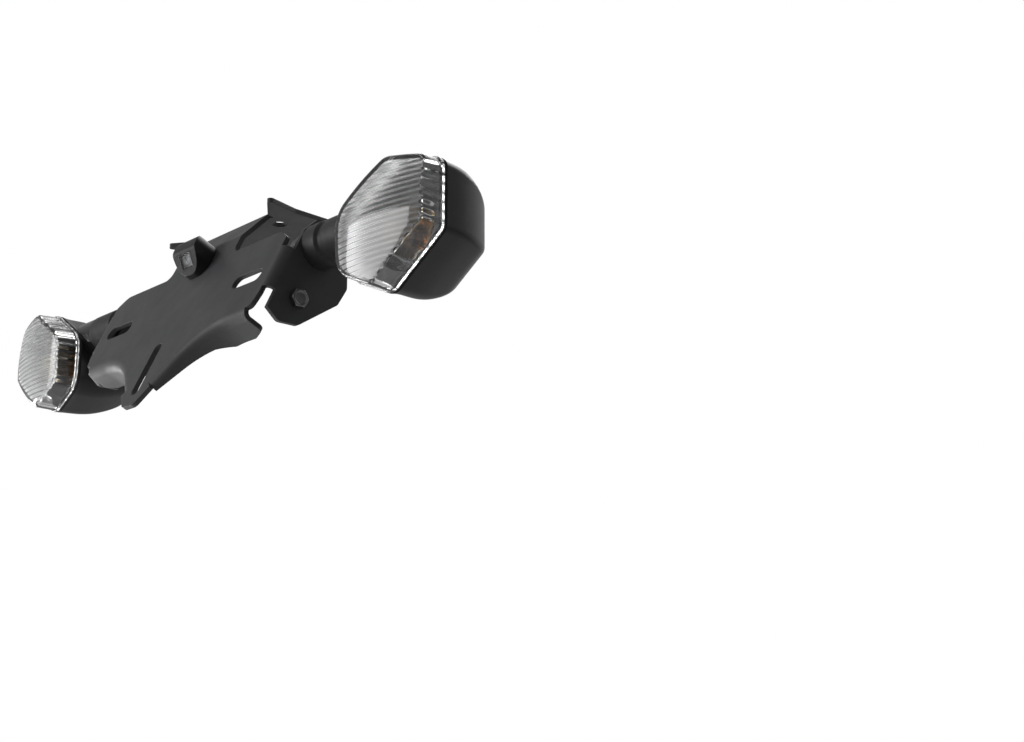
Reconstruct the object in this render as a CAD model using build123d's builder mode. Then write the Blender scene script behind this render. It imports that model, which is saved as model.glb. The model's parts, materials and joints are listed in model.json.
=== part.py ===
from build123d import *

import os
from math import atan2, cos, degrees, hypot, radians, sin, tan

# Tail tidy: folded plate bracket with a plate light and two stalk indicators.
# Frame: origin at the centre of the tail bolt holes on the flange's top face,
# X to the vehicle's right, Y forward, Z up. Millimetres.

# Folded sheet
sheet = 2.0
bend_out = 4.0
tilt = 25.0
neck_tilt = 45.0

# Middle of the plate slots, on the plate face
slot_y = -50.0
slot_z = -41.5

# Plate face, across and up the face from the middle of the slots
slot_spacing = 100.0
slot_length = 20.0
slot_width = 6.5
long_slot_length = 26.0
long_slot_width = 5.5
long_slot_v = -33.0
neck_half = 24.5
neck_round = 4.0
fold_v = 31.0
wing_top = 21.5
wing_half = 70.0
wing_chamfer_x = 6.0
wing_chamfer_v = 4.5
wing_round = 8.0
corner_x = 64.0
corner_v = -17.5
corner_round = 2.5
valley_x = 30.2
valley_round = 42.0
tongue_x = 8.2
tongue_v = -41.3
tongue_half = 4.5
tongue_low = -51.5
tongue_round = 4.0

# Top flange and its horns
bolt_x = 40.0
bolt_y = 30.0
bolt_hole_r = 3.25
flange_half = 33.0
flange_front = 28.0
flange_round = 8.0
flange_lap = 8.0
horn_x = 41.0
horn_y = -36.0
horn_round = 1.5
horn_root_y = -25.0
horn_neck_x = 36.0
horn_neck_y = -18.0
horn_gap = 1.0

# Lower returns, across the face and back from it
return_gap = 3.0
return_start = 3.0
return_mid_x = 33.0
return_mid = 9.0
return_wide_x = 41.0
return_deep = 13.2
return_chamfer_x = 7.0
return_chamfer_w = 2.5
return_round = 3.0

# Side lugs: stud and bolt are forward and up from the middle of the slots
stud_y = 20.7
stud_z = 12.6
stud_r = 4.0
stud_bore_r = 2.2
stud_tail = 15.0
lug_low_v = -8.0
lug_high_v = 12.0
lug_relief = 3.0
lug_foot_v = -16.5
lug_head_v = 22.5
lug_heel = 8.3
lug_toe = 1.0
lug_drop = 10.4
lug_back = 13.8
lug_low = 14.6
lug_low_y = 4.5
lug_low_z = 7.5
lug_shoulder = 1.4
lug_rise = 12.4
lug_crown = 0.7
lug_top_y = 5.5
lug_top_z = 1.5
lug_round = 3.0
lug_bolt_y = 10.3
lug_bolt_z = -11.1
lug_bolt_r = 2.0
lug_bolt_across = 7.0
lug_bolt_head = 2.8
lug_bolt_tail = 1.5
lug_nut_t = 3.2
lug_plate = 2.5
lug_plate_r = 7.8

# Stalk and its nut
stalk_r = 9.4
stalk_collar = 8.0
groove_width = 2.0
groove_depth = 1.2
stalk_step = 0.2
washer_r = 8.0
washer_t = 1.6
nut_across = 13.0
nut_t = 6.5

# Indicators
lamp_x = 130.3
lamp_y = 12.0
lamp_z = 2.5
lamp_yaw = 4.3
lamp_half = 24.1
lamp_top = 25.5
lamp_bottom = -25.0
rim_top_x = 3.0
rim_top_round = 8.0
rim_out_high = 21.5
rim_out_high_round = 5.0
rim_out_low = -6.0
rim_out_low_round = 4.0
rim_low_x = -2.0
rim_low_round = 6.0
rim_in_low = -15.5
rim_in_high = 9.0
rim_in_round = 12.0
lens_depth = 13.6
lens_wall = 2.0
lens_draft = 2.0
dome_r = 105.0
crown_round = 1.2
rim_lip = 1.6
rim_step = 0.6
flute_pitch = 2.1
flute_depth = 0.7
gasket = 1.2
gasket_inset = 0.4
housing_depth = 34.0
housing_step = 12.0
housing_wide = 0.97
housing_back = 0.55
housing_shift = 3.0
housing_steps = 4
housing_power = 4 / 3
housing_wall = 2.4
ledge = 4.0
ledge_lip = 1.6
boss_r = 9.0
boss_stand = 6.0
boss_hole = 8.0
bowl_r = 14.5
bowl_depth = 15.0
bowl_floor_r = 10.5
bowl_curve = 16.0
bowl_wall = 1.0
bulb_hole_r = 7.7
reflector_gap = 0.05
glass_r = 8.5
glass_neck = 6.2
glass_mid = -5.0
cap_r = 7.4
socket_r = 8.6
socket_base = 1.5

# Plate light, up the face and out of it
light_half = 8.5
light_low = 15.0
light_high = 31.0
light_out = 10.5
light_wall = 1.5
light_lip = 2.5
light_chamfer_v = 3.0
light_chamfer_n = 3.5
light_round = 3.5
light_corner = 6.5
light_mouth = 3.0
facet_rise = 7.5
light_screw_x = 4.6
light_screw_v = 27.0
light_screw_r = 1.5
light_screw_length = 5.5
screw_gap = 0.2
screw_head_r = 2.75
screw_head_t = 1.8
screw_hole = 6.0
post_r = 2.6
wire_hole_v = 21.0
wire_hole_r = 2.5
window_wide = 8.0
window_high = 6.0
window_rise = 0.8
window_proud = 0.3
window_cut = 2.1
board_gap = 3.2
board_wide = 5.0
board_t = 1.2
led_size = 2.0
led_count = 3
led_pitch = 3.4
led_t = 0.9

# Distance within which two points are the same
same = 0.01

bend_in = bend_out - sheet
s_tilt = sin(radians(tilt))
c_tilt = cos(radians(tilt))


def face_point(x, v, n):
    """Row position of a point given across the face, up the face and out of it."""
    y = slot_y + v * s_tilt - n * c_tilt
    z = slot_z + v * c_tilt + n * s_tilt
    return (x, y, z)


def side_point(v, w):
    """Forward and up from the middle of the slots, for a point up the face and behind it."""
    return (v * s_tilt + w * c_tilt, v * c_tilt - w * s_tilt)


def both_sides(points):
    """An outline's right half, then its mirrored left half."""
    return points + [(-x, y) for x, y in reversed(points)]


def corners_at(sketch, points):
    """Corners of a sketch that lie at the given points."""
    return [p for p in sketch.vertices() if min(hypot(p.X - x, p.Y - y) for x, y in points) < same]


def bend_section():
    """Quarter ring of a right-angled bend in the sheet."""
    Circle(bend_out)
    Circle(bend_in, mode=Mode.SUBTRACT)
    Rectangle(bend_out, bend_out, align=(Align.MIN, Align.MAX), mode=Mode.INTERSECT)


out_of_face = (0, -c_tilt, s_tilt)
up_face = (0, s_tilt, c_tilt)
face_plane = Plane(origin=(0, slot_y, slot_z), x_dir=(1, 0, 0), z_dir=out_of_face)
lug_plane = Plane(origin=(wing_half, slot_y, slot_z), x_dir=(0, 1, 0), z_dir=(1, 0, 0))
mid_plane = Plane(origin=(0, slot_y, slot_z), x_dir=(0, 1, 0), z_dir=(1, 0, 0))

# Middle strip of the bracket: face, neck and flange in one bent line
strip_v = wing_top + neck_round
low_y, low_z = side_point(strip_v, 0)
fold_y, fold_z = side_point(fold_v, 0)
crest_z = -slot_z
crest_y = fold_y + (crest_z - fold_z) * tan(radians(neck_tilt))
strip_end = crest_y + flange_lap
outer_line = [(low_y, low_z), (fold_y, fold_z), (crest_y, crest_z), (strip_end, crest_z)]
fold_half = radians((neck_tilt - tilt) / 2)
crest_half = radians((90 - neck_tilt) / 2)
fold_way = radians((neck_tilt + tilt) / 2)
crest_way = radians((90 + neck_tilt) / 2)
fold_step = sheet / cos(fold_half)
crest_step = sheet / cos(crest_half)
inner_low = side_point(strip_v, sheet)
inner_fold = (fold_y + fold_step * cos(fold_way), fold_z - fold_step * sin(fold_way))
inner_crest = (crest_y + crest_step * cos(crest_way), crest_z - crest_step * sin(crest_way))
inner_end = (strip_end, crest_z - sheet)
inner_line = [inner_low, inner_fold, inner_crest, inner_end]
flange_rear = slot_y + crest_y + bend_out * tan(crest_half)

# Lower edge of the face, from the tongue towards the wing
edge_length = hypot(valley_x - tongue_x, corner_v - tongue_v)
edge_x = (valley_x - tongue_x) / edge_length
edge_v = (corner_v - tongue_v) / edge_length
edge_dir = (edge_x, edge_v * s_tilt, edge_v * c_tilt)
edge_out = (edge_v, -edge_x * s_tilt, -edge_x * c_tilt)

# Face outline without its bends
flat_half = wing_half - bend_out
neck_corner = (neck_half, wing_top)
wing_corner = (flat_half - wing_chamfer_x, wing_top)
low_corner = (corner_x, corner_v)
valley = (valley_x, corner_v)
tongue_side = (tongue_x, tongue_v)
tongue_step = (tongue_x + bend_out * edge_v, tongue_v - bend_out * edge_x)
tongue_corner = (tongue_half, tongue_low)
right_edge = [
    (neck_half, strip_v),
    neck_corner,
    wing_corner,
    (flat_half, wing_top - wing_chamfer_v),
    (flat_half, lug_low_v - lug_relief),
    low_corner,
    valley,
    tongue_side,
    tongue_step,
    tongue_corner,
]

# Flange outline
front_corner = (flange_half, flange_front)
horn_tip = (horn_x, horn_y)
right_flange = [
    (neck_half + horn_gap, flange_rear),
    (neck_half + horn_gap, horn_root_y),
    horn_tip,
    (horn_neck_x, horn_neck_y),
    front_corner,
]

# Side lug outline: its corners keep their distance from the bolt and the stud
lug_corners = [
    (lug_bolt_y - lug_heel, lug_bolt_z - lug_drop),
    (lug_bolt_y + lug_toe, lug_bolt_z - lug_drop),
    (stud_y + lug_back - lug_low_y, stud_z - lug_low - lug_low_z),
    (stud_y + lug_back, stud_z - lug_low),
    (stud_y + lug_back, stud_z + lug_shoulder),
    (stud_y + lug_back - lug_top_y, stud_z + lug_rise - lug_top_z),
    (stud_y - lug_crown, stud_z + lug_rise),
    side_point(lug_head_v, bend_out),
]
lug_outline = [
    side_point(lug_low_v, bend_out),
    side_point(lug_foot_v, bend_out),
    *lug_corners,
    side_point(lug_high_v, bend_out),
]

# Lower return: its bend follows the face's lower edge from the tongue to the corner
return_end = corner_x - return_gap
return_corners = [
    (return_mid_x, return_mid),
    (return_wide_x, return_deep),
    (return_end - return_chamfer_x, return_deep),
    (return_end, return_deep - return_chamfer_w),
]
return_outline = [(0, 0), (0, return_start), (tongue_x, return_start), *return_corners, (return_end, 0)]
with BuildPart() as lower_return:
    with BuildLine(face_plane.offset(-bend_out)):
        FilletPolyline(tongue_side, valley, (return_end, corner_v), radius=valley_round)
    bend_start = face_point(tongue_x, tongue_v, -bend_out)
    with BuildSketch(Plane(origin=bend_start, x_dir=edge_out, z_dir=edge_dir)):
        bend_section()
        with Locations((bend_in, 0)):
            Rectangle(sheet, return_deep - bend_out, align=(Align.MIN, Align.MIN))
    sweep()
    # free edge, seen along the face
    with BuildSketch(Plane(origin=face_plane.origin, x_dir=(1, 0, 0), z_dir=up_face)) as free_edge:
        Polygon(*return_outline, align=None)
        fillet(corners_at(free_edge, return_corners), return_round)
    extrude(amount=tongue_low, mode=Mode.INTERSECT)

# Folded steel bracket
with BuildPart() as plate_bracket:
    with BuildSketch(face_plane) as face:
        Polygon(*both_sides(right_edge), align=None)
        fillet(corners_at(face, both_sides([neck_corner])), neck_round)
        fillet(corners_at(face, both_sides([wing_corner])), wing_round)
        fillet(corners_at(face, both_sides([low_corner])), corner_round)
        fillet(corners_at(face, both_sides([valley])), valley_round)
        fillet(corners_at(face, both_sides([tongue_corner])), tongue_round)
    extrude(amount=-sheet)
    # middle strip up to the flange
    with BuildSketch(mid_plane):
        with BuildLine():
            FilletPolyline(*outer_line, radius=bend_out)
            Line(outer_line[-1], inner_line[-1])
            FilletPolyline(*inner_line, radius=bend_in)
            Line(inner_line[0], outer_line[0])
        make_face()
    extrude(amount=neck_half, both=True)
    # flange with pointed horns
    with BuildSketch(Plane.XY) as flange:
        Polygon(*both_sides(right_flange), align=None)
        fillet(corners_at(flange, both_sides([front_corner])), flange_round)
        fillet(corners_at(flange, both_sides([horn_tip])), horn_round)
    extrude(amount=-sheet)
    # side lugs
    with BuildSketch(lug_plane) as lug:
        Polygon(*lug_outline, align=None)
        fillet(corners_at(lug, lug_corners), lug_round)
    lug_right = extrude(amount=-sheet)
    bend_low = face_point(flat_half, lug_low_v, -bend_out)
    with BuildSketch(Plane(origin=bend_low, x_dir=(1, 0, 0), z_dir=up_face)):
        bend_section()
    bend_right = extrude(amount=lug_high_v - lug_low_v)
    add(lower_return.part)
    for piece in (lug_right, bend_right, lower_return.part):
        mirror(piece, about=Plane.YZ)
    # holes in the flange
    with BuildSketch(Plane.XY):
        with GridLocations(bolt_x, bolt_y, 2, 2):
            Circle(bolt_hole_r)
    extrude(amount=-sheet, mode=Mode.SUBTRACT)
    # slots in the face and the plate light's holes
    with BuildSketch(face_plane):
        with GridLocations(slot_spacing, 0, 2, 1):
            SlotOverall(slot_length, slot_width)
        with Locations((0, long_slot_v)):
            SlotOverall(long_slot_length, long_slot_width, rotation=90)
        with Locations((-light_screw_x, light_screw_v), (light_screw_x, light_screw_v)):
            Circle(light_screw_r + screw_gap)
        with Locations((0, wire_hole_v)):
            Circle(wire_hole_r)
    extrude(amount=-2 * sheet, mode=Mode.SUBTRACT)
    # stud and bolt holes in both lugs
    with BuildSketch(lug_plane):
        with Locations((stud_y, stud_z)):
            Circle(stud_r)
        with Locations((lug_bolt_y, lug_bolt_z)):
            Circle(lug_bolt_r)
    extrude(amount=-2 * wing_half, mode=Mode.SUBTRACT)
os.makedirs("parts", exist_ok=True)
plate_bracket.part.label = "plate_bracket"
export_step(plate_bracket.part, "parts/plate_bracket.step")

# Plate light: hollow body on the middle of the face, with its window in a sloping facet
light_side = Plane(origin=(0, slot_y, slot_z), x_dir=up_face, z_dir=(1, 0, 0))
facet_out = light_out - light_lip
facet_length = hypot(facet_rise, facet_out)
facet_s = facet_rise / facet_length
facet_c = facet_out / facet_length
light_profile = [
    (light_low, 0),
    (light_low, light_lip),
    (light_low + facet_rise, light_out),
    (light_high - light_chamfer_v, light_out),
    (light_high, light_out - light_chamfer_n),
    (light_high, 0),
]
window_out = (0, -facet_c * s_tilt - facet_s * c_tilt, -facet_c * c_tilt + facet_s * s_tilt)
window_v = light_low + facet_rise / 2 + window_rise * facet_s
window_n = light_lip + facet_out / 2 + window_rise * facet_c
window_mid = face_point(0, window_v, window_n)
window_plane = Plane(origin=window_mid, x_dir=(1, 0, 0), z_dir=window_out)
light_mid = (light_low + light_high) / 2
light_length = light_high - light_low
mouth_low = light_low + light_mouth
mouth_high = light_high - light_wall
with BuildPart() as light_hollow:
    with BuildSketch(light_side):
        Polygon(*light_profile, align=None)
        offset(amount=-light_wall)
        with Locations((mouth_low, 0)):
            Rectangle(mouth_high - mouth_low, light_mouth, align=Align.MIN)
    extrude(amount=light_half - light_wall, both=True)
    with BuildSketch(face_plane):
        with Locations((0, light_mid)):
            RectangleRounded(2 * light_half, light_length, light_corner)
            offset(amount=-light_wall)
    extrude(amount=light_out, mode=Mode.INTERSECT)

with BuildPart() as light_body:
    with BuildSketch(light_side) as light_shape:
        Polygon(*light_profile, align=None)
        fillet(corners_at(light_shape, light_profile[2:5]), light_round)
    extrude(amount=light_half, both=True)
    with BuildSketch(face_plane):
        with Locations((0, light_mid)):
            RectangleRounded(2 * light_half, light_length, light_corner)
    extrude(amount=light_out + light_round, mode=Mode.INTERSECT)
    add(light_hollow.part, mode=Mode.SUBTRACT)
    # screw posts
    with BuildSketch(face_plane):
        with Locations((-light_screw_x, light_screw_v), (light_screw_x, light_screw_v)):
            Circle(post_r)
    extrude(amount=light_out - light_wall)
    with BuildSketch(face_plane):
        with Locations((-light_screw_x, light_screw_v), (light_screw_x, light_screw_v)):
            Circle(light_screw_r)
    extrude(amount=screw_hole, mode=Mode.SUBTRACT)
    # window opening
    with BuildSketch(window_plane):
        Rectangle(window_wide, window_high)
    extrude(amount=-window_cut, mode=Mode.SUBTRACT)
light_body.part.label = "light_body"
export_step(light_body.part, "parts/light_body.step")

with BuildPart() as light_window:
    with BuildSketch(window_plane.offset(window_proud)):
        Rectangle(window_wide, window_high)
    extrude(amount=-light_wall - window_proud)
light_window.part.label = "light_window"
export_step(light_window.part, "parts/light_window.step")

with BuildPart() as light_board:
    with BuildSketch(window_plane.offset(-board_gap)):
        Rectangle(2 * (light_half - light_wall), board_wide)
    extrude(amount=-board_t)
    with BuildSketch(window_plane.offset(-board_gap)):
        with GridLocations(led_pitch, 0, led_count, 1):
            Rectangle(led_size, led_size)
    extrude(amount=led_t)
    add(light_hollow.part, mode=Mode.INTERSECT)
light_board.part.label = "light_board"
export_step(light_board.part, "parts/light_board.step")

with BuildPart() as light_screws:
    with BuildSketch(face_plane.offset(-sheet)):
        with Locations((-light_screw_x, light_screw_v), (light_screw_x, light_screw_v)):
            Circle(screw_head_r)
    extrude(amount=-screw_head_t)
    with BuildSketch(face_plane.offset(-sheet)):
        with Locations((-light_screw_x, light_screw_v), (light_screw_x, light_screw_v)):
            Circle(light_screw_r)
    extrude(amount=sheet + light_screw_length)
light_screws.part.label = "light_screws"
export_step(light_screws.part, "parts/light_screws.step")

# Lug plates behind the side lugs, with their bolts and nuts
plate_mid = ((stud_y + lug_bolt_y) / 2, (stud_z + lug_bolt_z) / 2)
plate_span = hypot(stud_y - lug_bolt_y, stud_z - lug_bolt_z)
plate_turn = degrees(atan2(stud_z - lug_bolt_z, stud_y - lug_bolt_y))
with BuildPart() as right_lug_plate:
    with BuildSketch(lug_plane.offset(-sheet)):
        with Locations(plate_mid):
            SlotCenterToCenter(plate_span, 2 * lug_plate_r, rotation=plate_turn)
        with Locations((stud_y, stud_z)):
            Circle(stud_r, mode=Mode.SUBTRACT)
        with Locations((lug_bolt_y, lug_bolt_z)):
            Circle(lug_bolt_r, mode=Mode.SUBTRACT)
    extrude(amount=-lug_plate)
right_lug_plate.part.label = "right_lug_plate"
export_step(right_lug_plate.part, "parts/right_lug_plate.step")

with BuildPart() as lug_bolts:
    with BuildSketch(lug_plane):
        with Locations((lug_bolt_y, lug_bolt_z)):
            RegularPolygon(lug_bolt_across / 2, 6, major_radius=False)
    extrude(amount=lug_bolt_head)
    with BuildSketch(lug_plane):
        with Locations((lug_bolt_y, lug_bolt_z)):
            Circle(lug_bolt_r)
    extrude(amount=-sheet - lug_plate - lug_nut_t - lug_bolt_tail)
    mirror(about=Plane.YZ)
lug_bolts.part.label = "lug_bolts"
export_step(lug_bolts.part, "parts/lug_bolts.step")

with BuildPart() as lug_nuts:
    with BuildSketch(lug_plane.offset(-sheet - lug_plate)):
        with Locations((lug_bolt_y, lug_bolt_z)):
            RegularPolygon(lug_bolt_across / 2, 6, major_radius=False)
            Circle(lug_bolt_r, mode=Mode.SUBTRACT)
    extrude(amount=-lug_nut_t)
    mirror(about=Plane.YZ)
lug_nuts.part.label = "lug_nuts"
export_step(lug_nuts.part, "parts/lug_nuts.step")

# Rubber stalks on hollow studs, from the side lugs to the lamp bosses
stud_origin = (0, slot_y + stud_y, slot_z + stud_z)
stud_axis = Axis(stud_origin, (1, 0, 0))
stalk_plane = Plane(origin=stud_origin, x_dir=(1, 0, 0), z_dir=(0, -1, 0))
boss_end = lamp_x - lamp_half - boss_stand
groove_x = wing_half + stalk_collar
groove_r = stalk_r - groove_depth
body_r = stalk_r - stalk_step
with BuildPart() as right_stalk:
    with BuildSketch(stalk_plane):
        Polygon(
            (wing_half, stud_r),
            (wing_half, stalk_r),
            (groove_x, stalk_r),
            (groove_x + groove_depth, groove_r),
            (groove_x + groove_depth + groove_width, groove_r),
            (groove_x + 2 * groove_depth + groove_width, body_r),
            (boss_end, body_r),
            (boss_end, stud_r),
            align=None,
        )
    revolve(axis=stud_axis)
right_stalk.part.label = "right_stalk"
export_step(right_stalk.part, "parts/right_stalk.step")

stud_end = wing_half - stud_tail
with BuildPart() as stalk_studs:
    with BuildSketch(stalk_plane):
        Polygon(
            (stud_end, stud_bore_r),
            (stud_end, stud_r),
            (boss_end + boss_hole, stud_r),
            (boss_end + boss_hole, stud_bore_r),
            align=None,
        )
    revolve(axis=stud_axis)
    mirror(about=Plane.YZ)
stalk_studs.part.label = "stalk_studs"
export_step(stalk_studs.part, "parts/stalk_studs.step")

with BuildPart() as stalk_washers:
    with BuildSketch(lug_plane.offset(-sheet - lug_plate)):
        with Locations((stud_y, stud_z)):
            Circle(washer_r)
            Circle(stud_r, mode=Mode.SUBTRACT)
    extrude(amount=-washer_t)
    mirror(about=Plane.YZ)
stalk_washers.part.label = "stalk_washers"
export_step(stalk_washers.part, "parts/stalk_washers.step")

with BuildPart() as stalk_nuts:
    with BuildSketch(lug_plane.offset(-sheet - lug_plate - washer_t)):
        with Locations((stud_y, stud_z)):
            RegularPolygon(nut_across / 2, 6, major_radius=False)
            Circle(stud_r, mode=Mode.SUBTRACT)
    extrude(amount=-nut_t)
    mirror(about=Plane.YZ)
stalk_nuts.part.label = "stalk_nuts"
export_step(stalk_nuts.part, "parts/stalk_nuts.step")

# Indicator planes: the lamps turn a little outwards
s_lamp = sin(radians(lamp_yaw))
c_lamp = cos(radians(lamp_yaw))
lamp_origin = (lamp_x, slot_y + lamp_y, slot_z + lamp_z)
lamp_across = (c_lamp, s_lamp, 0)
lamp_rear = (s_lamp, -c_lamp, 0)
lamp_plane = Plane(origin=lamp_origin, x_dir=lamp_across, z_dir=lamp_rear)
turn_plane = Plane(origin=lamp_origin, x_dir=lamp_across, z_dir=(0, 0, -1))
lamp_axis = Axis(lamp_origin, lamp_rear)

# Indicator outline: a hexagon swept up outboard, each corner with its round
rim_corners = [
    ((rim_top_x, lamp_top), rim_top_round),
    ((lamp_half, rim_out_high), rim_out_high_round),
    ((lamp_half, rim_out_low), rim_out_low_round),
    ((rim_low_x, lamp_bottom), rim_low_round),
    ((-lamp_half, rim_in_low), rim_in_round),
    ((-lamp_half, rim_in_high), rim_in_round),
]
with BuildSketch() as rim_outline:
    Polygon(*[corner for corner, radius in rim_corners], align=None)
    for corner, radius in rim_corners:
        fillet(corners_at(rim_outline, [corner]), radius)

# Flutes inside the lens: V grooves across the lamp, turned about the dome's upright axis
dome_mid = lamp_plane.from_local_coords((0, 0, lens_depth - dome_r))
flute_plane = Plane(origin=dome_mid, x_dir=lamp_rear, z_dir=(-c_lamp, -s_lamp, 0))
inner_r = dome_r - lens_wall
flutes = int(lamp_top / flute_pitch) + 2
flute_line = []
for i in range(-flutes, flutes + 1):
    crest = i * flute_pitch
    root = crest + flute_pitch / 2
    flute_line.append(((inner_r**2 - crest**2) ** 0.5, crest))
    flute_line.append(((inner_r**2 - root**2) ** 0.5 - flute_depth, root))

# Clear lens: a cup with a rim lip, drafted walls and a shallow dome
with BuildPart() as lens_hollow:
    with BuildSketch(lamp_plane):
        add(rim_outline.sketch)
        offset(amount=-rim_step - lens_wall)
    extrude(amount=lens_depth, taper=lens_draft)
    with BuildSketch(flute_plane):
        Polygon(*flute_line, (0, flute_line[-1][1]), (0, flute_line[0][1]), align=None)
    revolve(axis=Axis(dome_mid, (0, 0, 1)), mode=Mode.INTERSECT)

with BuildPart() as right_lens:
    with BuildSketch(lamp_plane):
        add(rim_outline.sketch)
        offset(amount=-rim_step)
    extrude(amount=lens_depth + lens_wall, taper=lens_draft)
    with Locations(lamp_plane.offset(lens_depth - dome_r)):
        Sphere(dome_r, mode=Mode.INTERSECT)
    crown = right_lens.faces().filter_by(GeomType.SPHERE)
    fillet(crown.edges(), crown_round)
    with BuildSketch(lamp_plane):
        add(rim_outline.sketch)
    extrude(amount=rim_lip)
    add(lens_hollow.part, mode=Mode.SUBTRACT)
right_lens.part.label = "right_lens"
export_step(right_lens.part, "parts/right_lens.step")

# Rim gasket
with BuildPart() as right_gasket:
    with BuildSketch(lamp_plane):
        add(rim_outline.sketch)
        offset(amount=-gasket_inset)
    extrude(amount=-gasket)
    with BuildSketch(lamp_plane):
        add(rim_outline.sketch)
        offset(amount=-lens_wall)
    extrude(amount=-gasket, mode=Mode.SUBTRACT)
right_gasket.part.label = "right_gasket"
export_step(right_gasket.part, "parts/right_gasket.step")

# Housing: a cup that rounds off towards its back, with a boss for the stalk
outer_sections = [(gasket, 1.0, 0.0)]
inner_sections = [(ledge, 1.0 - (lens_wall + ledge_lip) / lamp_half, 0.0)]
for i in range(housing_steps + 1):
    angle = radians(90 * i / housing_steps)
    back = sin(angle) ** housing_power
    depth = housing_step + (housing_depth - housing_step) * back
    size = housing_back + (housing_wide - housing_back) * abs(cos(angle)) ** housing_power
    shift = housing_shift * back
    outer_sections.append((depth, size, shift))
    inner_size = size - housing_wall * cos(angle) / lamp_half
    inner_sections.append((depth - housing_wall * sin(angle), inner_size, shift))


def lamp_section(depth, shift):
    """Plane across the lamp at a depth behind the rim, with its middle shifted inboard."""
    middle = lamp_plane.from_local_coords((-shift, 0, -depth))
    return Plane(origin=middle, x_dir=lamp_across, z_dir=lamp_rear)


with BuildPart() as housing_hollow:
    for depth, size, shift in inner_sections:
        with BuildSketch(lamp_section(depth, shift)):
            add(rim_outline.sketch)
            scale(by=size)
    loft()
    with BuildSketch(lamp_plane.offset(-gasket)):
        add(rim_outline.sketch)
        offset(amount=-lens_wall)
    extrude(amount=gasket - ledge)

boss_plane = Plane(origin=(boss_end, slot_y, slot_z), x_dir=(0, 1, 0), z_dir=(1, 0, 0))
with BuildPart() as right_housing:
    for depth, size, shift in outer_sections:
        with BuildSketch(lamp_section(depth, shift)):
            add(rim_outline.sketch)
            scale(by=size)
    loft()
    with BuildSketch(boss_plane):
        with Locations((stud_y, stud_z)):
            Circle(boss_r)
    extrude(amount=lamp_x - boss_end)
    # the boss stops short of the gasket and the lens
    with BuildSketch(lamp_plane.offset(-gasket)):
        add(rim_outline.sketch)
    extrude(amount=boss_r, mode=Mode.SUBTRACT)
    add(housing_hollow.part, mode=Mode.SUBTRACT)
    with BuildSketch(boss_plane):
        with Locations((stud_y, stud_z)):
            Circle(stud_r)
    extrude(amount=lamp_x - boss_end, mode=Mode.SUBTRACT)
right_housing.part.label = "right_housing"
export_step(right_housing.part, "parts/right_housing.step")

# Reflector: flat surround on the ledge with a round bowl
bowl_top = bowl_wall - ledge
bowl_floor = bowl_wall - bowl_depth
with BuildPart() as right_reflector:
    with BuildSketch(lamp_plane.offset(-ledge)):
        add(rim_outline.sketch)
        offset(amount=-lens_wall - reflector_gap)
        Circle(bowl_r, mode=Mode.SUBTRACT)
    extrude(amount=bowl_wall)
    with BuildSketch(turn_plane):
        with BuildLine():
            RadiusArc((bowl_r, bowl_top), (bowl_floor_r, bowl_floor), bowl_curve)
            Polyline(
                (bowl_floor_r, bowl_floor),
                (bulb_hole_r, bowl_floor),
                (bulb_hole_r, -bowl_depth),
                (bowl_floor_r + bowl_wall, -bowl_depth),
            )
            RadiusArc((bowl_floor_r + bowl_wall, -bowl_depth), (bowl_r + bowl_wall, bowl_top), -bowl_curve)
            Line((bowl_r + bowl_wall, bowl_top), (bowl_r, bowl_top))
        make_face()
    revolve(axis=lamp_axis)
right_reflector.part.label = "right_reflector"
export_step(right_reflector.part, "parts/right_reflector.step")

# Bulb: amber glass, brass cap and socket, between the reflector and the housing's back
neck_h = glass_mid - (glass_r**2 - glass_neck**2) ** 0.5
socket_floor = housing_wall - housing_depth
cap_floor = socket_floor + socket_base
with BuildPart() as right_bulb:
    with BuildSketch(turn_plane):
        with BuildLine():
            Polyline((0, -bowl_depth), (glass_neck, -bowl_depth), (glass_neck, neck_h))
            ThreePointArc((glass_neck, neck_h), (glass_r, glass_mid), (0, glass_mid + glass_r))
            Line((0, glass_mid + glass_r), (0, -bowl_depth))
        make_face()
    revolve(axis=lamp_axis)
right_bulb.part.label = "right_bulb"
export_step(right_bulb.part, "parts/right_bulb.step")

with BuildPart() as right_bulb_cap:
    with BuildSketch(lamp_plane.offset(cap_floor)):
        Circle(cap_r)
    extrude(amount=-bowl_depth - cap_floor)
right_bulb_cap.part.label = "right_bulb_cap"
export_step(right_bulb_cap.part, "parts/right_bulb_cap.step")

with BuildPart() as right_bulb_socket:
    with BuildSketch(lamp_plane.offset(socket_floor)):
        Circle(socket_r)
    extrude(amount=-bowl_depth - socket_floor)
    with BuildSketch(lamp_plane.offset(cap_floor)):
        Circle(cap_r)
    extrude(amount=-bowl_depth - cap_floor, mode=Mode.SUBTRACT)
right_bulb_socket.part.label = "right_bulb_socket"
export_step(right_bulb_socket.part, "parts/right_bulb_socket.step")

# The left side's own pieces mirror the right side's
for right in (
    right_lug_plate,
    right_stalk,
    right_lens,
    right_gasket,
    right_housing,
    right_reflector,
    right_bulb,
    right_bulb_cap,
    right_bulb_socket,
):
    with BuildPart() as left:
        mirror(right.part, about=Plane.YZ)
    left.part.label = right.part.label.replace("right", "left")
    export_step(left.part, "parts/" + left.part.label + ".step")
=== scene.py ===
import json
from math import acos, asin, cos, pi, radians, sin, sqrt, tan

import bmesh
import bpy
from mathutils import Matrix, Vector


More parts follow.
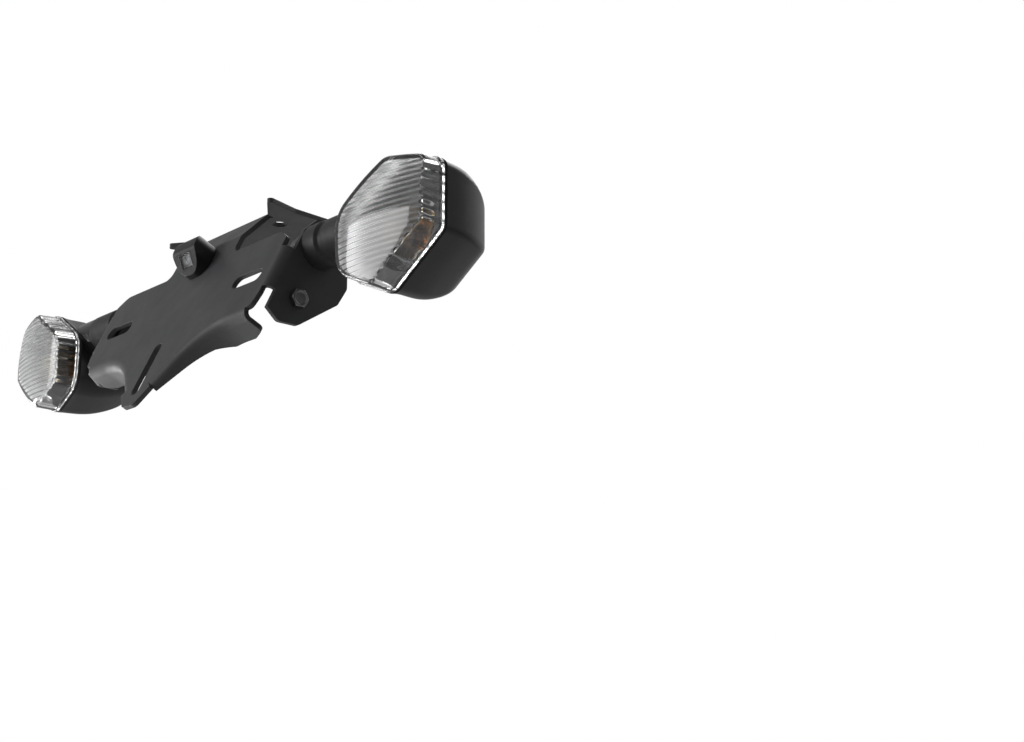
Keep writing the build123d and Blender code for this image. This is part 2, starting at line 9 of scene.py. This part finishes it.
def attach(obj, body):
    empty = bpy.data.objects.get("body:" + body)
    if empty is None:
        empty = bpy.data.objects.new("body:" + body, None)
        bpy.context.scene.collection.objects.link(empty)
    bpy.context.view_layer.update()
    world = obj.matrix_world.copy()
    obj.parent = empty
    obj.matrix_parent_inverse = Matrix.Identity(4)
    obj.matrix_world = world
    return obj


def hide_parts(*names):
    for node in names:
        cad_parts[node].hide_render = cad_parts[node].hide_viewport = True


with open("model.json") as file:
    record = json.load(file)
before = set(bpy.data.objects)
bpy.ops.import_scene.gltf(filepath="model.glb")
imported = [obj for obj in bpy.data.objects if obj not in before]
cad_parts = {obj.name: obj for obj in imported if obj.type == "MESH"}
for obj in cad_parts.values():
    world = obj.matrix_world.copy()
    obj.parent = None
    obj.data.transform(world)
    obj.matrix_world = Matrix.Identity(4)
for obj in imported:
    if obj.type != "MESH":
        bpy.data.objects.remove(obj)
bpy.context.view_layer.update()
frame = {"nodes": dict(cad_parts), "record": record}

nodes = frame["nodes"]
scene = bpy.context.scene
mm = 0.001
sides = {"right": 1, "left": -1}


# Shader nodes

noise_low, noise_high = 0.3, 0.7


def new_shader(name):
    mat = bpy.data.materials.new(name)
    mat.use_nodes = True
    tree = mat.node_tree
    return mat, tree, tree.nodes["Principled BSDF"]


def set_inputs(node, values):
    for name, value in values.items():
        node.inputs[name].default_value = value


def operate(tree, kind, operation, values):
    """Math node of a kind; each value is a socket or a constant."""
    node = tree.nodes.new(kind)
    node.operation = operation
    for socket, value in zip(node.inputs, values):
        if isinstance(value, bpy.types.NodeSocket):
            tree.links.new(value, socket)
        else:
            socket.default_value = value
    return node


def maths(tree, operation, *values):
    return operate(tree, "ShaderNodeMath", operation, values).outputs["Value"]


def vectors(tree, operation, *values, output="Vector"):
    return operate(tree, "ShaderNodeVectorMath", operation, values).outputs[output]


def noise(tree, scale, detail):
    """Noise in object coordinates; scale is cycles per metre."""
    coord = tree.nodes.new("ShaderNodeTexCoord")
    tex = tree.nodes.new("ShaderNodeTexNoise")
    set_inputs(tex, {"Scale": scale, "Detail": detail})
    tree.links.new(coord.outputs["Object"], tex.inputs["Vector"])
    return tex.outputs["Fac"]


def spread(tree, value, low, high, start=noise_low, end=noise_high):
    """Map a value from start..end onto low..high."""
    node = tree.nodes.new("ShaderNodeMapRange")
    set_inputs(node, {"From Min": start, "From Max": end, "To Min": low, "To Max": high})
    tree.links.new(value, node.inputs["Value"])
    return node.outputs["Result"]


def ramp(tree, value, low, high):
    """Colour between two tones."""
    node = tree.nodes.new("ShaderNodeValToRGB")
    first, last = node.color_ramp.elements
    first.position, first.color = noise_low, (*low, 1)
    last.position, last.color = noise_high, (*high, 1)
    tree.links.new(value, node.inputs["Fac"])
    return node.outputs["Color"]


def blend(tree, factor, first, second):
    """Mix of two colour outputs."""
    node = tree.nodes.new("ShaderNodeMix")
    node.data_type = "RGBA"
    tree.links.new(factor, node.inputs["Factor"])
    tree.links.new(first, node.inputs["A"])
    tree.links.new(second, node.inputs["B"])
    return node.outputs["Result"]


def bump(tree, shader, height, strength, distance, under=None):
    """Fine relief on a shader, on top of another normal if one is given."""
    node = tree.nodes.new("ShaderNodeBump")
    set_inputs(node, {"Strength": strength, "Distance": distance})
    tree.links.new(height, node.inputs["Height"])
    if under:
        tree.links.new(under, node.inputs["Normal"])
    tree.links.new(node.outputs["Normal"], shader.inputs["Normal"])


def tones(colour, vary):
    """A colour made darker and lighter by a share of itself."""
    return [tuple(min(1.0, c * k) for c in colour) for k in (1 - vary, 1 + vary)]


# Materials

bevel_samples = 6
# how much finer than a coat's patches its sheen, its rubbed tone and its wear are
sheen_finer, rubbed_finer, wear_finer = 2.3, 3, 9
# cosine between the softened normal and the face's own, where wear is full and where there is none
edge_full, edge_none = 0.8, 0.98
# noise at which wear starts and is full, and how much of the rubbed tone it then shows
wear_start, wear_end, wear_most = 0.42, 0.68, 0.7
rubbed_vary = 0.2
tint_vary = 0.015


def worn_edges(tree, soft, patch):
    """Broken patches along the edges, where the softened normal leaves the face's own."""
    flat = tree.nodes.new("ShaderNodeNewGeometry")
    facing = vectors(tree, "DOT_PRODUCT", soft, flat.outputs["Normal"], output="Value")
    near = spread(tree, facing, 1.0, 0.0, edge_full, edge_none)
    broken = noise(tree, patch * wear_finer, detail=6.0)
    return maths(tree, "MULTIPLY", near, spread(tree, broken, 0.0, wear_most, wear_start, wear_end))


def coated(name, colour, vary, patch, rough, grain, depth, edge=0.0, worn=None, **sockets):
    """Patchy tone and roughness with a fine grain; soft edges and, if asked, a rubbed tone on them."""
    mat, tree, shader = new_shader(name)
    set_inputs(shader, {socket.replace("_", " "): value for socket, value in sockets.items()})
    base = ramp(tree, noise(tree, patch, detail=5.0), *tones(colour, vary))
    soft = None
    if edge:
        bevel = tree.nodes.new("ShaderNodeBevel")
        bevel.samples = bevel_samples
        bevel.inputs["Radius"].default_value = edge
        soft = bevel.outputs["Normal"]
    if worn:
        rubbed = ramp(tree, noise(tree, patch * rubbed_finer, detail=3.0), *tones(worn, rubbed_vary))
        base = blend(tree, worn_edges(tree, soft, patch), base, rubbed)
    tree.links.new(base, shader.inputs["Base Color"])
    sheen = spread(tree, noise(tree, patch * sheen_finer, detail=6.0), *rough)
    tree.links.new(sheen, shader.inputs["Roughness"])
    bump(tree, shader, noise(tree, grain, detail=3.0), strength=0.3, distance=depth, under=soft)
    return mat


def clear(name, colour, rough, ior, ripple, depth):
    """Moulded clear plastic or glass with a faint flow ripple."""
    mat, tree, shader = new_shader(name)
    set_inputs(shader, {"Transmission Weight": 1.0, "IOR": ior})
    tint = ramp(tree, noise(tree, scale=40, detail=3.0), *tones(colour, tint_vary))
    tree.links.new(tint, shader.inputs["Base Color"])
    haze = spread(tree, noise(tree, scale=160, detail=5.0), *rough)
    tree.links.new(haze, shader.inputs["Roughness"])
    bump(tree, shader, noise(tree, ripple, detail=2.0), strength=0.2, distance=depth)
    return mat


# Lamp frame, in millimetres: across, up and to the rear from the middle of the rim
lamp_mid = Vector((130.3, -38.0, -39.0))
lamp_yaw = radians(4.3)
lamp_across = Vector((cos(lamp_yaw), sin(lamp_yaw), 0.0))
lamp_up = Vector((0.0, 0.0, 1.0))
lamp_rear = Vector((sin(lamp_yaw), -cos(lamp_yaw), 0.0))
silver_r, black_r = 12.9, 13.3


def reflector_material():
    """Bright silver in the bowl and satin black around it, by the distance from the lamp's axis."""
    mat, tree, shader = new_shader("reflector_silver")
    coord = tree.nodes.new("ShaderNodeTexCoord")
    # both lamps fold onto the right one, where x is positive and y and z are negative
    apart = vectors(tree, "ABSOLUTE", coord.outputs["Object"])
    folded = vectors(tree, "MULTIPLY", apart, (1, -1, -1))
    offset = vectors(tree, "SUBTRACT", folded, lamp_mid * mm)
    cross = vectors(tree, "CROSS_PRODUCT", offset, lamp_rear)
    radius = vectors(tree, "LENGTH", cross, output="Value")
    bowl = spread(tree, radius, 1.0, 0.0, silver_r * mm, black_r * mm)
    silver = ramp(tree, noise(tree, scale=90, detail=4.0), (0.66, 0.67, 0.68), (0.76, 0.76, 0.77))
    black = ramp(tree, noise(tree, scale=120, detail=4.0), (0.008, 0.008, 0.009), (0.014, 0.014, 0.015))
    tree.links.new(blend(tree, bowl, black, silver), shader.inputs["Base Color"])
    tree.links.new(bowl, shader.inputs["Metallic"])
    shader.inputs["Specular IOR Level"].default_value = 0.15
    sheen = spread(tree, noise(tree, scale=240, detail=5.0), 0.16, 0.30)
    tree.links.new(sheen, shader.inputs["Roughness"])
    bump(tree, shader, noise(tree, scale=130, detail=2.0), strength=0.25, distance=0.0002)
    return mat


by_slot = {
    "bracket_black": coated(
        "bracket_black", colour=(0.053, 0.054, 0.056), vary=0.12, patch=45, rough=(0.44, 0.56),
        grain=1500, depth=0.00011, edge=0.0005, worn=(0.13, 0.13, 0.132), Specular_IOR_Level=0.25),
    "lamp_black": coated(
        "lamp_black", colour=(0.012, 0.012, 0.013), vary=0.2, patch=90, rough=(0.30, 0.42),
        grain=2600, depth=0.00006, edge=0.0005, Specular_IOR_Level=0.2),
    "window_clear": clear(
        "window_clear", colour=(0.90, 0.91, 0.92), rough=(0.10, 0.18), ior=1.49, ripple=300, depth=0.00004),
    "board_white": coated(
        "board_white", colour=(0.60, 0.61, 0.62), vary=0.08, patch=300, rough=(0.35, 0.5),
        grain=3000, depth=0.00004, edge=0.0002),
    "zinc_steel": coated(
        "zinc_steel", colour=(0.17, 0.17, 0.167), vary=0.18, patch=220, rough=(0.30, 0.46),
        grain=2600, depth=0.00005, edge=0.0002, worn=(0.09, 0.09, 0.088), Metallic=1.0),
    "housing_black": coated(
        "housing_black", colour=(0.016, 0.016, 0.0175), vary=0.2, patch=60, rough=(0.16, 0.28),
        grain=420, depth=0.00003, edge=0.0004, Specular_IOR_Level=0.3),
    "lens_clear": clear(
        "lens_clear", colour=(0.97, 0.975, 0.97), rough=(0.0, 0.03), ior=1.49, ripple=180, depth=0.00005),
    "gasket_black": coated(
        "gasket_black", colour=(0.018, 0.018, 0.018), vary=0.2, patch=120, rough=(0.6, 0.75),
        grain=3000, depth=0.00006),
    "reflector_silver": reflector_material(),
    "bulb_amber": clear(
        "bulb_amber", colour=(0.62, 0.49, 0.33), rough=(0.04, 0.10), ior=1.45, ripple=200, depth=0.00004),
    "cap_brass": coated(
        "cap_brass", colour=(0.72, 0.53, 0.24), vary=0.12, patch=200, rough=(0.2, 0.34),
        grain=1800, depth=0.00004, Metallic=1.0),
    "stalk_rubber": coated(
        "stalk_rubber", colour=(0.028, 0.028, 0.029), vary=0.2, patch=110, rough=(0.46, 0.60),
        grain=2300, depth=0.0001, edge=0.0006, Specular_IOR_Level=0.25),
}
lens_flutes = clear(
    "lens_flutes", colour=(0.78, 0.785, 0.79), rough=(0.40, 0.50), ior=1.49, ripple=180, depth=0.00005)
for sub in frame["record"]["subparts"]:
    obj = nodes[sub["node"]]
    obj.data.materials.clear()
    obj.data.materials.append(by_slot[sub["material_slot"]])


# Pieces

sharp_angle = radians(32)


def piece(name, bm, node, slot, *extra):
    """Finish a mesh as a piece that stands for a CAD node; points are in millimetres."""
    bmesh.ops.recalc_face_normals(bm, faces=bm.faces[:])
    bm.transform(Matrix.Scale(mm, 4))
    mesh = bpy.data.meshes.new(name)
    bm.to_mesh(mesh)
    bm.free()
    for mat in (by_slot[slot], *extra):
        mesh.materials.append(mat)
    mesh.shade_smooth()
    mesh.set_sharp_from_angle(angle=sharp_angle)
    obj = bpy.data.objects.new(name, mesh)
    scene.collection.objects.link(obj)
    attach(obj, "root")
    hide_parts(node)


def strip(bm, low, high, closed=True, material=0):
    """Quads between two rows of vertices."""
    count = len(low)
    for i in range(count if closed else count - 1):
        j = (i + 1) % count
        face = bm.faces.new((low[i], low[j], high[j], high[i]))
        face.material_index = material


def in_lamp(side, x, y, z):
    """Place in the part of a point in the lamp's frame."""
    place = lamp_mid + lamp_across * x + lamp_up * y + lamp_rear * z
    return side * place.x, place.y, place.z


# Clear lens: rim lip, drafted wall, rounded crown, shallow dome, and flutes and ribs inside

lamp_half = 24.1
lamp_top = 25.5
lamp_bottom = -25.0
# corners of the rim, across and up, each with its round
rim = [
    ((3.0, lamp_top), 8.0),
    ((lamp_half, 21.5), 5.0),
    ((lamp_half, -6.0), 4.0),
    ((-2.0, lamp_bottom), 6.0),
    ((-lamp_half, -15.5), 12.0),
    ((-lamp_half, 9.0), 12.0),
]
lens_depth = 13.6
lens_wall = 2.0
draft = tan(radians(2.0))
dome_r = 105.0
crown = 1.2
lip = 1.6
lip_bevel = 0.25
lip_step = 0.6
flute_pitch = 2.1
flute_depth = 0.28
rib_pitch = 3.5
rib_depth = 0.35
rib_most = 1 / 8
edge_gap = 0.05

# how finely the lens is divided
arc_steps = 8
run_steps = 5
wall_steps = 3
crown_steps = 4
dome_rings = 8
flute_steps = 8
flute_columns = 16


def rim_line(inset):
    """Points round the lamp's rim, moved inwards; every inset has as many."""
    corners = [Vector(corner) for corner, radius in rim]
    ways = [(corners[i] - corners[i - 1]).normalized() for i in range(len(rim))]
    arcs = []
    for i, (corner, radius) in enumerate(rim):
        come, go = ways[i], ways[(i + 1) % len(rim)]
        in_come, in_go = Vector((come.y, -come.x)), Vector((go.y, -go.x))
        point = corners[i] + (in_come + in_go) * inset / (1 + in_come.dot(in_go))
        round_r = radius - inset
        turn = acos(come.dot(go))
        start = point - come * round_r * tan(turn / 2)
        middle = start + in_come * round_r
        arm = start - middle
        arcs.append([middle + Matrix.Rotation(-turn * k / arc_steps, 2) @ arm for k in range(arc_steps + 1)])
    line = []
    for i, arc in enumerate(arcs):
        line += arc
        after = arcs[(i + 1) % len(arcs)][0]
        line += [arc[-1].lerp(after, k / run_steps) for k in range(1, run_steps)]
    return line


def on_dome(point):
    """The place on the dome above a point of the rim's plane."""
    x, y = point
    return Vector((x, y, lens_depth - dome_r + sqrt(dome_r**2 - x * x - y * y)))


def wave(y, pitch):
    """Round wave from nought to one and back in each pitch."""
    return (1 - cos(2 * pi * y / pitch)) / 2


def fluted(x, y):
    """Inside of the dome, with a row of round flutes across it."""
    reach = sqrt((dome_r - lens_wall) ** 2 - y * y) - flute_depth * wave(y, flute_pitch)
    return lens_depth - dome_r + sqrt(reach**2 - x * x)


def span(line, y):
    """Leftmost and rightmost crossing of an outline at a height."""
    found = []
    for a, b in zip(line, line[1:] + line[:1]):
        if (a.y - y) * (b.y - y) <= 0 and a.y != b.y:
            found.append(a.x + (b.x - a.x) * (y - a.y) / (b.y - a.y))
    return min(found), max(found)


def heights(line, count):
    """Even heights from just above an outline's foot to just below its top."""
    low = min(p.y for p in line) + edge_gap
    high = max(p.y for p in line) - edge_gap
    return [low + (high - low) * i / count for i in range(count + 1)]


def lens_outside(bm, vert):
    """Lip, wall, crown and dome, ring by ring up to the tip."""
    foot_line = rim_line(lip_step + lip * draft)
    crown_line = rim_line(lip_step + lens_depth * draft + crown)
    foot = [Vector((*p, lip)) for p in foot_line]
    crease = [on_dome(p) for p in rim_line(lip_step + lens_depth * draft)]
    below = [c + (f - c) * crown / (c - f).length for f, c in zip(foot, crease)]
    above = [on_dome(p) for p in crown_line]

    lip_rings = [(lip_bevel, 0.0), (0.0, lip_bevel), (0.0, lip - lip_bevel), (lip_bevel, lip)]
    places = [[(*p, z) for p in rim_line(inset)] for inset, z in lip_rings]
    places.append(foot)
    for k in range(1, wall_steps + 1):
        places.append([f.lerp(b, k / wall_steps) for f, b in zip(foot, below)])
    for k in range(1, crown_steps + 1):
        t = k / crown_steps
        places.append([(1 - t) ** 2 * b + 2 * t * (1 - t) * c + t * t * a
                       for a, b, c in zip(above, below, crease)])
    for k in range(1, dome_rings):
        places.append([on_dome(p * (1 - k / dome_rings)) for p in crown_line])

    rows = [[vert(*place) for place in row] for row in places]
    for low, high in zip(rows, rows[1:]):
        strip(bm, low, high)
    tip = vert(0, 0, lens_depth)
    last = rows[-1]
    for i, v in enumerate(last):
        bm.faces.new((v, last[(i + 1) % len(last)], tip))


def lens_inside(bm, vert):
    """Rows across the flutes, with ribbed walls down to the rim."""
    upper = rim_line(lip_step + lens_wall + lens_depth * draft)
    lower = rim_line(lip_step + lens_wall)
    tall = max(p.y for p in upper) - min(p.y for p in upper) - 2 * edge_gap
    count = int(tall / flute_pitch * flute_steps)
    grid, left, right = [], [], []
    for y, foot_y in zip(heights(upper, count), heights(lower, count)):
        x0, x1 = span(upper, y)
        rib = min(rib_depth * wave(y, rib_pitch), (x1 - x0) * rib_most)
        x0, x1 = x0 + rib, x1 - rib
        places = [x0 + (x1 - x0) * j / flute_columns for j in range(flute_columns + 1)]
        grid.append([vert(x, y, fluted(x, y)) for x in places])
        foot_left, foot_right = span(lower, foot_y)
        left.append(vert(foot_left + rib, foot_y, 0.0))
        right.append(vert(foot_right - rib, foot_y, 0.0))
    for low, high in zip(grid, grid[1:]):
        strip(bm, low, high, closed=False, material=1)
    strip(bm, left, [row[0] for row in grid], closed=False)
    strip(bm, [row[-1] for row in grid], right, closed=False)
    for end in (0, -1):
        a, b = left[end], right[end]
        foot = [bm.verts.new(a.co.lerp(b.co, j / flute_columns)) for j in range(1, flute_columns)]
        strip(bm, [a, *foot, b], grid[end], closed=False)


def lens(side):
    """One lamp's lens; side is 1 on the right and -1 on the left."""
    bm = bmesh.new()

    def vert(x, y, z):
        return bm.verts.new(in_lamp(side, x, y, z))

    lens_outside(bm, vert)
    lens_inside(bm, vert)
    # underside between the two outlines
    open_edges = [e for e in bm.edges if len(e.link_faces) == 1]
    bmesh.ops.triangle_fill(bm, use_beauty=True, edges=open_edges)
    return bm


for name, side in sides.items():
    piece(name + "_lens_clear", lens(side), name + "_lens", "lens_clear", lens_flutes)


# Turned shapes: a station is a place along an axis and a radius, or a radius for each angle

cone_share = 0.97
cone_slope = 1.73
thread_share = 0.54
chamfer_gaps = (0.36, 0.27, 0.18, 0.09, 0.0)


def hexagon(across):
    """Radius of a hexagon at each angle."""
    return lambda a: across / 2 / cos((a % (pi / 3)) - pi / 6)


def chamfered(across, gap):
    """Hexagon cut by a cone that starts just inside its flats; gap is the distance from the end."""
    flats = hexagon(across)
    cone = cone_share * across / 2 + gap * cone_slope
    return lambda a: min(flats(a), cone)


def threaded(radius, pitch, along):
    """Radius of a thread at each angle, at one place along it."""
    depth = thread_share * pitch

    def at(a):
        turn = (along / pitch + a / (2 * pi)) % 1.0
        return radius - depth * abs(2 * turn - 1)
    return at


def thread(radius, pitch, start, length, steps):
    """Stations of a thread."""
    places = [start + length * i / steps for i in range(steps + 1)]
    return [(x, threaded(radius, pitch, x)) for x in places]


def spin(bm, stations, place, count=48, closed=False, material=0):
    """Rings round an axis, joined in order; closed joins the last to the first, and else both are capped."""
    rings = []
    for x, radius in stations:
        row = []
        for k in range(count):
            a = 2 * pi * k / count
            r = radius(a) if callable(radius) else radius
            row.append(bm.verts.new(place(x, r * cos(a), r * sin(a))))
        rings.append(row)
    pairs = zip(rings, rings[1:] + rings[:1]) if closed else zip(rings, rings[1:])
    for low, high in pairs:
        strip(bm, low, high, material=material)
    if not closed:
        for row in (rings[0], rings[-1]):
            bm.faces.new(row).material_index = material


def sideways(side, y, z):
    """Places round an axis along X, on one side of the part."""
    return lambda along, u, w: (side * along, y + u, z + w)


# Fasteners of the side lugs and stalks

lug_x = 70.0
sheet = 2.0
plate = 2.5
plate_x = lug_x - sheet - plate
bolt_y, bolt_z = -39.7, -52.6
bolt_r, bolt_across, bolt_head = 2.0, 7.0, 2.8
bolt_nut, bolt_tail = 3.2, 1.5
bolt_pitch, bolt_thread, bolt_steps = 0.7, 1.6, 21
bolt_tip, bolt_tip_r, bolt_run_out = 0.25, 1.2, 0.5
face_r, face_t = 3.3, 0.25
dish = [(0.0, 2.9), (0.35, 2.4), (0.4, 1.0)]
sink = 0.45
stud_y, stud_z = -29.3, -28.9
stud_r, stud_bore, stud_tail, stud_end = 4.0, 2.2, 15.0, 108.2
stud_pitch, stud_thread, stud_steps = 1.25, 2.6, 16
stud_tip, stud_tip_r, stud_run_out = 0.3, 3.3, 0.6
stud_washer, stud_nut, stud_across = 1.6, 6.5, 13.0


def lug_bolts():
    """Bolts with a washer face, a chamfered head with a shallow dish, and a threaded tail."""
    end = plate_x - bolt_nut - bolt_tail
    top = lug_x + bolt_head
    stations = [(end, bolt_tip_r)]
    stations += thread(bolt_r, bolt_pitch, end + bolt_tip, bolt_thread, bolt_steps)
    stations += [(end + bolt_tail + bolt_run_out, bolt_r), (lug_x, bolt_r)]
    stations += [(lug_x, face_r), (lug_x + face_t, face_r), (lug_x + face_t, hexagon(bolt_across))]
    stations += [(top - gap, chamfered(bolt_across, gap)) for gap in chamfer_gaps]
    stations += [(top - deep, radius) for deep, radius in dish]
    bm = bmesh.new()
    for side in sides.values():
        spin(bm, stations, sideways(side, bolt_y, bolt_z))
    return bm


def nuts(high, length, across, bore, y, z):
    """A pair of hexagon nuts, chamfered at both ends, with a countersunk bore."""
    low = high - length
    stations = [(high - gap, chamfered(across, gap)) for gap in reversed(chamfer_gaps)]
    stations += [(low + gap, chamfered(across, gap)) for gap in chamfer_gaps]
    stations += [(low, bore + sink), (low + sink, bore), (high - sink, bore), (high, bore + sink)]
    bm = bmesh.new()
    for side in sides.values():
        spin(bm, stations, sideways(side, y, z), closed=True)
    return bm


def stalk_studs():
    """Tubes with a thread on the tail."""
    end = lug_x - stud_tail
    stations = [(end, stud_bore), (end, stud_tip_r)]
    stations += thread(stud_r, stud_pitch, end + stud_tip, stud_thread, stud_steps)
    stations += [(end + stud_thread + stud_run_out, stud_r), (stud_end, stud_r), (stud_end, stud_bore)]
    bm = bmesh.new()
    for side in sides.values():
        spin(bm, stations, sideways(side, stud_y, stud_z), closed=True)
    return bm


lug_nuts = nuts(plate_x, bolt_nut, bolt_across, bolt_r, bolt_y, bolt_z)
stalk_nuts = nuts(plate_x - stud_washer, stud_nut, stud_across, stud_r, stud_y, stud_z)
piece("lug_bolts_hex", lug_bolts(), "lug_bolts", "zinc_steel")
piece("lug_nuts_hex", lug_nuts, "lug_nuts", "zinc_steel")
piece("stalk_nuts_hex", stalk_nuts, "stalk_nuts", "zinc_steel")
piece("stalk_studs_thread", stalk_studs(), "stalk_studs", "zinc_steel")


# Plate light screws, from behind the plate face

tilt = radians(25.0)
face_mid = Vector((0.0, -50.0, -41.5))
up_face = Vector((0.0, sin(tilt), cos(tilt)))
out_of_face = Vector((0.0, -cos(tilt), sin(tilt)))
screw_x, screw_v = 4.6, 27.0
screw_r, screw_length, screw_tip = 1.5, 5.5, 0.4
head_r, head_t, head_edge, head_side = 2.75, 1.8, 0.1, 0.5
head_flat_r, head_steps = 1.45, 8
socket_across, socket_deep, socket_point, socket_point_r = 2.0, 1.0, 0.25, 0.2


def on_face(x, v):
    """Places round an axis square to the plate face."""
    foot = face_mid + Vector((x, 0, 0)) + up_face * v
    return lambda along, u, w: foot + Vector((u, 0, 0)) + up_face * w + out_of_face * along


def light_screws():
    """Button heads with a hexagon socket."""
    back = -sheet - head_t
    bottom = back + socket_deep
    stations = [(screw_length, screw_r - screw_tip), (screw_length - screw_tip, screw_r), (-sheet, screw_r)]
    stations += [(-sheet, head_r - head_edge), (-sheet - head_edge, head_r)]
    for k in range(1, head_steps + 1):
        a = pi / 2 * k / head_steps
        along = -sheet - head_side - (head_t - head_side) * sin(a)
        stations.append((along, head_flat_r + (head_r - head_flat_r) * cos(a)))
    stations += [(back, hexagon(socket_across)), (bottom, hexagon(socket_across))]
    stations.append((bottom + socket_point, socket_point_r))
    bm = bmesh.new()
    for side in sides.values():
        spin(bm, stations, on_face(side * screw_x, screw_v))
    return bm


piece("light_screws_socket", light_screws(), "light_screws", "zinc_steel")


# Bulbs: blown glass, open at its stem, with a coil on two posts

glass_r, glass_neck, glass_mid, glass_foot = 8.5, 6.2, -5.0, -15.0
glass_wall, glass_base, glass_steps = 0.8, 1.0, 20
stem_r, tip_r = 0.4, 0.15
inner_foot = glass_foot + glass_base
inner_neck = glass_neck - glass_wall
post_x, post_top, post_count = 2.4, -4.6, 16
post = [(inner_foot + 0.1, 0.4), (inner_foot + 2.0, 0.35), (post_top - 0.2, 0.3), (post_top, 0.15)]
coil_r, coil_pitch, coil_steps, coil_count = 0.5, 0.5, 76, 24


def globe(radius, neck):
    """Arc of the glass from its tip to its neck, as places along the lamp's axis and radii."""
    stop = pi - asin(neck / radius)
    start = asin(tip_r / radius)
    turns = [start + (stop - start) * k / glass_steps for k in range(glass_steps + 1)]
    return [(glass_mid + radius * cos(a), radius * sin(a)) for a in turns]


def bulb(side):
    """Glass, posts and coil of one lamp's bulb."""
    glass = globe(glass_r, glass_neck) + [(glass_foot, glass_neck), (glass_foot, stem_r)]
    glass += [(inner_foot, stem_r), (inner_foot, inner_neck)]
    glass += reversed(globe(glass_r - glass_wall, inner_neck))
    coil = thread(coil_r, coil_pitch, 0.0, 2 * post_x, coil_steps)

    def lengthwise(x):
        return lambda along, u, w: in_lamp(side, x + u, w, along)

    def crosswise(along, u, w):
        return in_lamp(side, along - post_x, u, post_top + coil_r + w)

    bm = bmesh.new()
    spin(bm, glass, lengthwise(0.0))
    for x in (-post_x, post_x):
        spin(bm, post, lengthwise(x), count=post_count, material=1)
    spin(bm, coil, crosswise, count=coil_count, material=1)
    return bm


for name, side in sides.items():
    piece(name + "_bulb_glass", bulb(side), name + "_bulb", "bulb_amber", by_slot["zinc_steel"])


# Camera, fitted to the photograph

eye = Vector((550.9, -375.7, -234.3)) * mm
away = Vector((0.7056, -0.6616, -0.2538)).normalized()
level = Vector((0.684, 0.7294, 0.0)).normalized()
rise = away.cross(level)
roll = radians(-0.27)
right = cos(roll) * level + sin(roll) * rise
up = -sin(roll) * level + cos(roll) * rise
cam = bpy.data.objects.new("camera", bpy.data.cameras.new("camera"))
cam.data.sensor_fit = "HORIZONTAL"
cam.data.sensor_width = 36.0
cam.data.lens = 54.72
cam.data.clip_start = 0.01
cam.matrix_world = Matrix((
    (right.x, up.x, away.x, eye.x),
    (right.y, up.y, away.y, eye.y),
    (right.z, up.z, away.z, eye.z),
    (0, 0, 0, 1),
))
scene.collection.objects.link(cam)
scene.camera = cam


# Studio

white = (1, 1, 1, 1)
mirrored = 0.3
shown_strength, fill_strength = 1.0, 0.2
aim_at = Vector((0.0, -0.04, -0.04))
floor_half, floor_z, floor_cells = 9.0, -0.6, 8
floor_glow = 0.5


def seen(tree):
    """One where the camera looks straight at a surface, and less by way of metal and glass."""
    path = tree.nodes.new("ShaderNodeLightPath")
    most = path.outputs["Is Camera Ray"]
    for kind in ("Is Glossy Ray", "Is Transmission Ray"):
        most = maths(tree, "MAXIMUM", most, maths(tree, "MULTIPLY", path.outputs[kind], mirrored))
    return most


def studio_world():
    """White where it is seen, and dimmer as a light."""
    world = bpy.data.worlds.new("studio")
    world.use_nodes = True
    tree = world.node_tree
    shown = tree.nodes["Background"]
    set_inputs(shown, {"Color": white, "Strength": shown_strength})
    fill = tree.nodes.new("ShaderNodeBackground")
    set_inputs(fill, {"Color": white, "Strength": fill_strength})
    choose = tree.nodes.new("ShaderNodeMixShader")
    tree.links.new(seen(tree), choose.inputs["Fac"])
    tree.links.new(fill.outputs["Background"], choose.inputs[1])
    tree.links.new(shown.outputs["Background"], choose.inputs[2])
    tree.links.new(choose.outputs["Shader"], tree.nodes["World Output"].inputs["Surface"])
    return world


def softbox(name, place, size, power):
    """Area lamp that faces the object's middle."""
    lamp = bpy.data.lights.new(name, "AREA")
    lamp.shape = "RECTANGLE"
    lamp.size, lamp.size_y = size
    lamp.energy = power
    obj = bpy.data.objects.new(name, lamp)
    obj.location = place
    aim = aim_at - obj.location
    obj.rotation_euler = aim.to_track_quat("-Z", "Y").to_euler()
    scene.collection.objects.link(obj)


def floor_material():
    """Pale floor that glows a little where it is seen."""
    mat, tree, shader = new_shader("floor_pale")
    pale = ramp(tree, noise(tree, scale=3, detail=3.0), (0.60, 0.60, 0.60), (0.64, 0.64, 0.64))
    tree.links.new(pale, shader.inputs["Base Color"])
    set_inputs(shader, {"Roughness": 0.8, "Emission Color": white})
    glow = spread(tree, seen(tree), 0.0, floor_glow, 0.0, 1.0)
    tree.links.new(glow, shader.inputs["Emission Strength"])
    return mat


scene.view_settings.view_transform = "Standard"
scene.world = studio_world()
softbox("key", (-0.66, -0.14, -0.22), (0.4, 0.4), power=3.2)
softbox("rear", (-0.55, -0.85, 0.12), (0.7, 0.5), power=5.5)
softbox("top", (-0.15, 0.75, 0.90), (1.2, 1.0), power=10.0)

bm = bmesh.new()
bmesh.ops.create_grid(bm, x_segments=floor_cells, y_segments=floor_cells, size=floor_half)
bm.transform(Matrix.Translation((0, 0, floor_z)))
floor_mesh = bpy.data.meshes.new("floor")
bm.to_mesh(floor_mesh)
bm.free()
floor_mesh.materials.append(floor_material())
floor = bpy.data.objects.new("floor", floor_mesh)
scene.collection.objects.link(floor)
